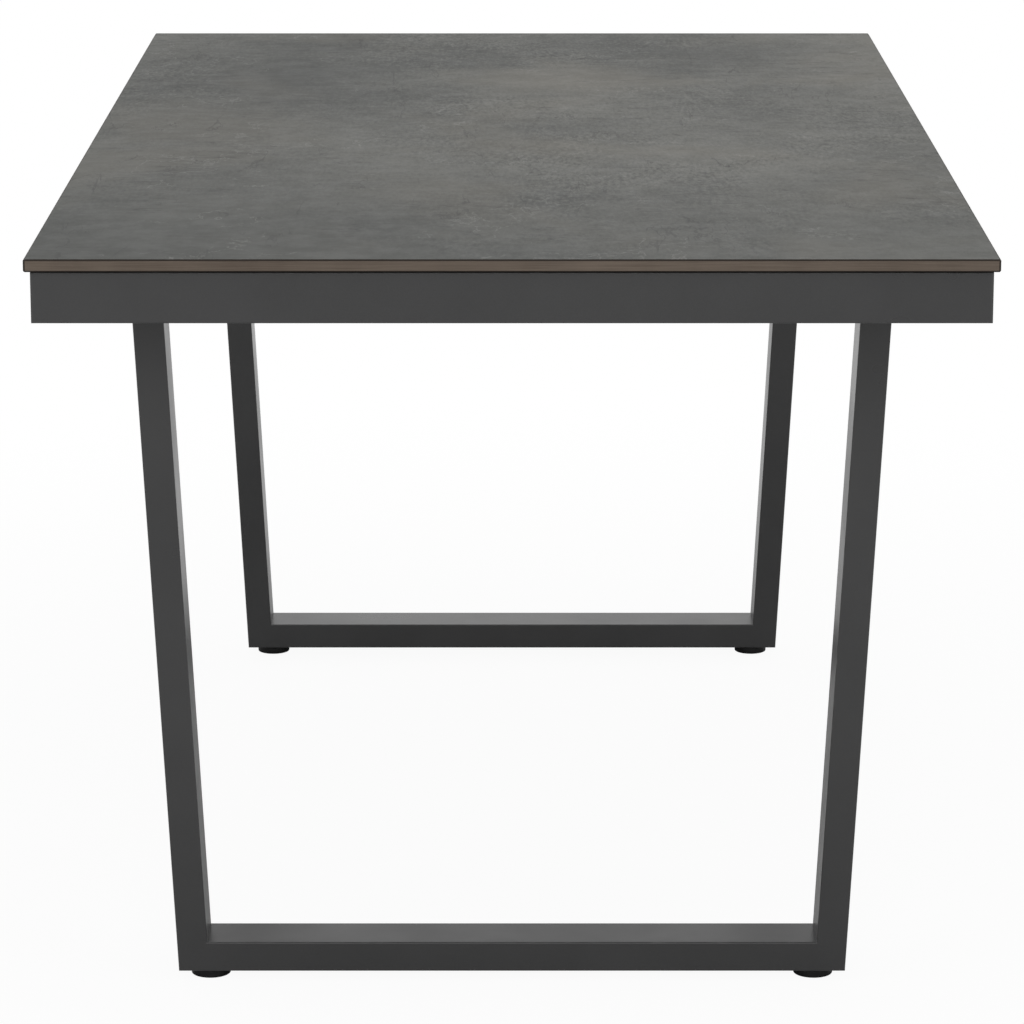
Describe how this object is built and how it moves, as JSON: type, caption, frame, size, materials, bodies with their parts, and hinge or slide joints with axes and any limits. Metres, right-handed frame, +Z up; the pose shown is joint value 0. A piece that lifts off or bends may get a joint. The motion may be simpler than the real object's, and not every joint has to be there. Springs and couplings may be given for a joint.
{
  "type": "extendable dining table",
  "caption": "Rectangular dining table on two tapered closed leg frames, with a draw leaf under each end of a stone-grey top.",
  "frame": {"origin": "on the floor, at the centre of the table with its leaves pushed in", "axes": "+X across the table, +Y along it towards the rear end, +Z up"},
  "size_m": [0.9, 1.6, 0.755],
  "materials": {
    "board": "matte stone-look compact laminate with a brown core",
    "frame_coat": "dark grey powder coat, fine texture",
    "carriage_coat": "dark grey powder coat, fine texture",
    "cap_plastic": "moulded, matt",
    "glide_plastic": "moulded, satin",
    "stop_rubber": "moulded, matt",
    "foot_plastic": "moulded, matt",
    "steel": "zinc plated"
  },
  "bodies": {
    "frame": {"main_top": "board", "side_apron_left": "frame_coat", "side_apron_right": "frame_coat", "centre_beam": "frame_coat", "tie_front": "frame_coat", "tie_rear": "frame_coat", "leg_front_left": "frame_coat", "leg_front_right": "frame_coat", "leg_rear_left": "frame_coat", "leg_rear_right": "frame_coat", "floor_rail_front": "frame_coat", "floor_rail_rear": "frame_coat", "leg_plate_front": "frame_coat", "leg_plate_rear": "frame_coat", "glide_front_left": "glide_plastic", "glide_front_right": "glide_plastic", "glide_rear_left": "glide_plastic", "glide_rear_right": "glide_plastic", "stop_front_left": "stop_rubber", "stop_front_right": "stop_rubber", "stop_rear_left": "stop_rubber", "stop_rear_right": "stop_rubber", "foot_inserts": "steel", "top_screws": "steel", "glide_screws": "steel", "stop_screws": "steel", "leg_bolts": "steel", "beam_bolts": "steel"},
    "carriage_front": {"leaf_front": "board", "fascia_front": "carriage_coat", "fascia_caps_front": "cap_plastic", "rail_front_left": "carriage_coat", "rail_front_right": "carriage_coat", "inner_batten_front": "carriage_coat", "outer_batten_front": "carriage_coat", "tail_block_front_left": "glide_plastic", "tail_block_front_right": "glide_plastic", "corner_brackets_front": "steel", "leaf_screws_front": "steel", "bracket_screws_front": "steel"},
    "carriage_rear": {"leaf_rear": "board", "fascia_rear": "carriage_coat", "fascia_caps_rear": "cap_plastic", "rail_rear_left": "carriage_coat", "rail_rear_right": "carriage_coat", "inner_batten_rear": "carriage_coat", "outer_batten_rear": "carriage_coat", "tail_block_rear_left": "glide_plastic", "tail_block_rear_right": "glide_plastic", "corner_brackets_rear": "steel", "leaf_screws_rear": "steel", "bracket_screws_rear": "steel"},
    "foot_pad_front_left": {"foot_pad_front_left": "foot_plastic"},
    "foot_stud_front_left": {"foot_stud_front_left": "steel"},
    "foot_pad_front_right": {"foot_pad_front_right": "foot_plastic"},
    "foot_stud_front_right": {"foot_stud_front_right": "steel"},
    "foot_pad_rear_left": {"foot_pad_rear_left": "foot_plastic"},
    "foot_stud_rear_left": {"foot_stud_rear_left": "steel"},
    "foot_pad_rear_right": {"foot_pad_rear_right": "foot_plastic"},
    "foot_stud_rear_right": {"foot_stud_rear_right": "steel"}
  },
  "joints": [
    {"name": "leaf_front_slide", "type": "slide", "parent": "frame", "child": "carriage_front", "axis": [0, -1, 0], "range_m": [0, 0.5]},
    {"name": "leaf_rear_slide", "type": "slide", "parent": "frame", "child": "carriage_rear", "axis": [0, 1, 0], "range_m": [0, 0.5]},
    {"name": "foot_front_left_lift", "type": "slide", "parent": "frame", "child": "foot_pad_front_left", "axis": [0, 0, 1], "range_m": [-0.009, 0]},
    {"name": "foot_front_left_turn", "type": "hinge", "parent": "foot_pad_front_left", "child": "foot_stud_front_left", "pos_m": [-0.29992, -0.612, 0.011], "axis": [0, 0, 1], "range_deg": [-2160, 0]},
    {"name": "foot_front_right_lift", "type": "slide", "parent": "frame", "child": "foot_pad_front_right", "axis": [0, 0, 1], "range_m": [-0.009, 0]},
    {"name": "foot_front_right_turn", "type": "hinge", "parent": "foot_pad_front_right", "child": "foot_stud_front_right", "pos_m": [0.29992, -0.612, 0.011], "axis": [0, 0, 1], "range_deg": [-2160, 0]},
    {"name": "foot_rear_left_lift", "type": "slide", "parent": "frame", "child": "foot_pad_rear_left", "axis": [0, 0, 1], "range_m": [-0.009, 0]},
    {"name": "foot_rear_left_turn", "type": "hinge", "parent": "foot_pad_rear_left", "child": "foot_stud_rear_left", "pos_m": [-0.29992, 0.612, 0.011], "axis": [0, 0, 1], "range_deg": [-2160, 0]},
    {"name": "foot_rear_right_lift", "type": "slide", "parent": "frame", "child": "foot_pad_rear_right", "axis": [0, 0, 1], "range_m": [-0.009, 0]},
    {"name": "foot_rear_right_turn", "type": "hinge", "parent": "foot_pad_rear_right", "child": "foot_stud_rear_right", "pos_m": [0.29992, 0.612, 0.011], "axis": [0, 0, 1], "range_deg": [-2160, 0]}
  ],
  "couplings": [
    {"joint": "foot_front_left_turn", "follows": "foot_front_left_lift", "rad_per_m": 4188.8},
    {"joint": "foot_front_right_turn", "follows": "foot_front_right_lift", "rad_per_m": 4188.8},
    {"joint": "foot_rear_left_turn", "follows": "foot_rear_left_lift", "rad_per_m": 4188.8},
    {"joint": "foot_rear_right_turn", "follows": "foot_rear_right_lift", "rad_per_m": 4188.8}
  ]
}
